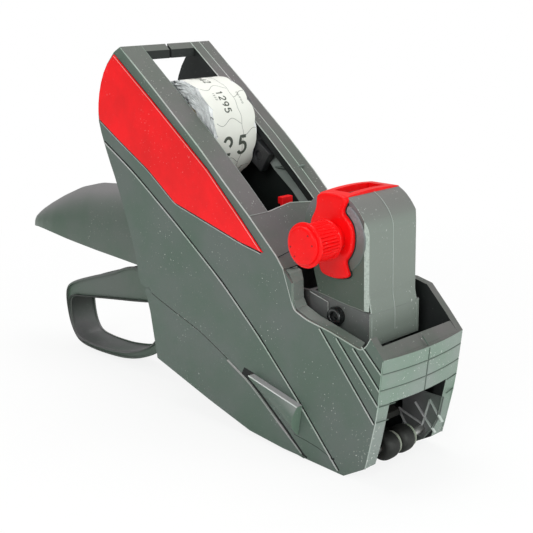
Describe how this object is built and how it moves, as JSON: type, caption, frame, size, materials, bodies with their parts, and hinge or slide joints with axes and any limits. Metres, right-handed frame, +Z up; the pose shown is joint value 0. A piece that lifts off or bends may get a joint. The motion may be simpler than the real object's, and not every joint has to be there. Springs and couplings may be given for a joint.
{
  "type": "price labeler",
  "caption": "Hand-held price labeler with a squeeze lever, swinging print head with number bands, label roll, feed wheel, nose roller and drop-down belly cover.",
  "frame": {"origin": "on the surface it stands on, below the print head's axis, on the seam between the two housing halves", "axes": "+X towards the nose, +Z up, -Y the side with the selector knob"},
  "size_m": [0.2381, 0.0576, 0.1416],
  "materials": {
    "body_plastic": "fine texture, semi-matte",
    "red_plastic": "satin gloss",
    "black_plastic": "matte",
    "white_plastic": "gloss",
    "clear_plastic": "clear",
    "steel": "plain",
    "black_steel": "blackened",
    "label_paper": "matte",
    "card": "matte",
    "type_rubber": "matte",
    "soft_rubber": "matte",
    "ink_foam": "damp"
  },
  "bodies": {
    "frame": {"housing_right_half": "body_plastic", "housing_left_half": "body_plastic", "side_panel_right": "red_plastic", "side_panel_left": "red_plastic", "grip": "body_plastic", "housing_screws": "steel", "print_bed": "steel", "sole_tie": "body_plastic", "roller_axle": "steel", "lever_pivot_pin": "steel", "arm_pivot_pin": "steel", "feed_axle": "steel", "guide_pin": "steel", "pawl_pin": "steel", "roll_hub_right": "black_plastic", "roll_hub_left": "black_plastic", "roll_arm_pins": "steel", "label_guide": "red_plastic", "label_web": "label_paper", "spring_seat": "black_plastic", "return_spring": "steel", "belly_hinge_pins": "steel"},
    "hand_lever": {"hand_lever": "body_plastic", "link_pins": "steel"},
    "print_arm": {"print_arm": "black_plastic", "head_frame": "black_plastic", "head_cover_right": "body_plastic", "head_cover_left": "body_plastic", "selector_cover": "red_plastic", "window_lens": "clear_plastic", "type_bands": "type_rubber", "type_foot": "steel", "wheel_spindle": "steel", "head_screws": "black_steel", "ink_pivot_pins": "steel"},
    "selector": {"selector_pointer": "white_plastic"},
    "selector_knob": {"selector_knob": "red_plastic", "selector_shaft": "steel"},
    "ink_arm": {"ink_arm": "black_plastic"},
    "ink_roller": {"ink_roller": "ink_foam"},
    "label_roll": {"label_roll": "label_paper", "roll_core": "card"},
    "feed_wheel": {"feed_wheel": "black_plastic"},
    "feed_pawl": {"feed_pawl": "black_plastic"},
    "application_roller": {"application_roller": "soft_rubber"},
    "belly_cover": {"belly_cover": "body_plastic"},
    "latch_right": {"latch_right": "body_plastic"},
    "latch_left": {"latch_left": "body_plastic"},
    "digit_wheel_1": {"digit_wheel_1": "white_plastic"},
    "digit_wheel_2": {"digit_wheel_2": "white_plastic"},
    "digit_wheel_3": {"digit_wheel_3": "white_plastic"},
    "digit_wheel_4": {"digit_wheel_4": "white_plastic"},
    "digit_wheel_5": {"digit_wheel_5": "white_plastic"},
    "digit_wheel_6": {"digit_wheel_6": "white_plastic"}
  },
  "joints": [
    {"name": "squeeze", "type": "hinge", "parent": "frame", "child": "hand_lever", "pos_m": [-0.08, 0, 0.04], "axis": [0, 1, 0], "range_deg": [0, 17], "stiffness_Nm_per_rad": 1.2, "springref_deg": -20.05, "deforming": ["return_spring"]},
    {"name": "print_stroke", "type": "hinge", "parent": "frame", "child": "print_arm", "pos_m": [-0.093, 0, 0.055], "axis": [0, 1, 0], "range_deg": [0, 10.3]},
    {"name": "ink_swing", "type": "hinge", "parent": "print_arm", "child": "ink_arm", "pos_m": [0, 0, 0.06], "axis": [0, 1, 0], "range_deg": [0, 56.3]},
    {"name": "pawl_lift", "type": "hinge", "parent": "frame", "child": "feed_pawl", "pos_m": [-0.033, 0, 0.0145], "axis": [0, -1, 0], "range_deg": [0, 8.7]},
    {"name": "ink_roller_spin", "type": "hinge", "parent": "ink_arm", "child": "ink_roller", "pos_m": [0, 0, 0.0287], "axis": [0, 1, 0], "continuous": true},
    {"name": "selector_pull", "type": "slide", "parent": "print_arm", "child": "selector", "axis": [0, -1, 0], "range_m": [0, 0.012]},
    {"name": "selector_turn", "type": "hinge", "parent": "selector", "child": "selector_knob", "pos_m": [-0.0008, 0, 0.0814], "axis": [0, -1, 0], "continuous": true},
    {"name": "label_roll_spin", "type": "hinge", "parent": "frame", "child": "label_roll", "pos_m": [-0.084, 0, 0.109], "axis": [0, 1, 0], "continuous": true},
    {"name": "feed_spin", "type": "hinge", "parent": "frame", "child": "feed_wheel", "pos_m": [-0.02, 0, 0.0105], "axis": [0, 1, 0], "continuous": true},
    {"name": "application_spin", "type": "hinge", "parent": "frame", "child": "application_roller", "pos_m": [0.014, 0, 0.0075], "axis": [0, 1, 0], "continuous": true},
    {"name": "cover_drop", "type": "hinge", "parent": "frame", "child": "belly_cover", "pos_m": [-0.0956, 0, 0.045], "axis": [0, 1, 0], "range_deg": [0, 35]},
    {"name": "latch_right_slide", "type": "slide", "parent": "belly_cover", "child": "latch_right", "axis": [-0.866, 0, 0.5], "range_m": [0, 0.005]},
    {"name": "latch_left_slide", "type": "slide", "parent": "belly_cover", "child": "latch_left", "axis": [-0.866, 0, 0.5], "range_m": [0, 0.005]},
    {"name": "digit_1_turn", "type": "hinge", "parent": "print_arm", "child": "digit_wheel_1", "pos_m": [-0.0008, 0, 0.0814], "axis": [0, 1, 0], "continuous": true},
    {"name": "digit_2_turn", "type": "hinge", "parent": "print_arm", "child": "digit_wheel_2", "pos_m": [-0.0008, 0, 0.0814], "axis": [0, 1, 0], "continuous": true},
    {"name": "digit_3_turn", "type": "hinge", "parent": "print_arm", "child": "digit_wheel_3", "pos_m": [-0.0008, 0, 0.0814], "axis": [0, 1, 0], "continuous": true},
    {"name": "digit_4_turn", "type": "hinge", "parent": "print_arm", "child": "digit_wheel_4", "pos_m": [-0.0008, 0, 0.0814], "axis": [0, 1, 0], "continuous": true},
    {"name": "digit_5_turn", "type": "hinge", "parent": "print_arm", "child": "digit_wheel_5", "pos_m": [-0.0008, 0, 0.0814], "axis": [0, 1, 0], "continuous": true},
    {"name": "digit_6_turn", "type": "hinge", "parent": "print_arm", "child": "digit_wheel_6", "pos_m": [-0.0008, 0, 0.0814], "axis": [0, 1, 0], "continuous": true}
  ],
  "couplings": [
    {"joint": "print_stroke", "follows": "squeeze", "ratio": 0.6},
    {"joint": "ink_swing", "follows": "squeeze", "ratio": 3.3},
    {"joint": "pawl_lift", "follows": "squeeze", "ratio": 0.5}
  ]
}
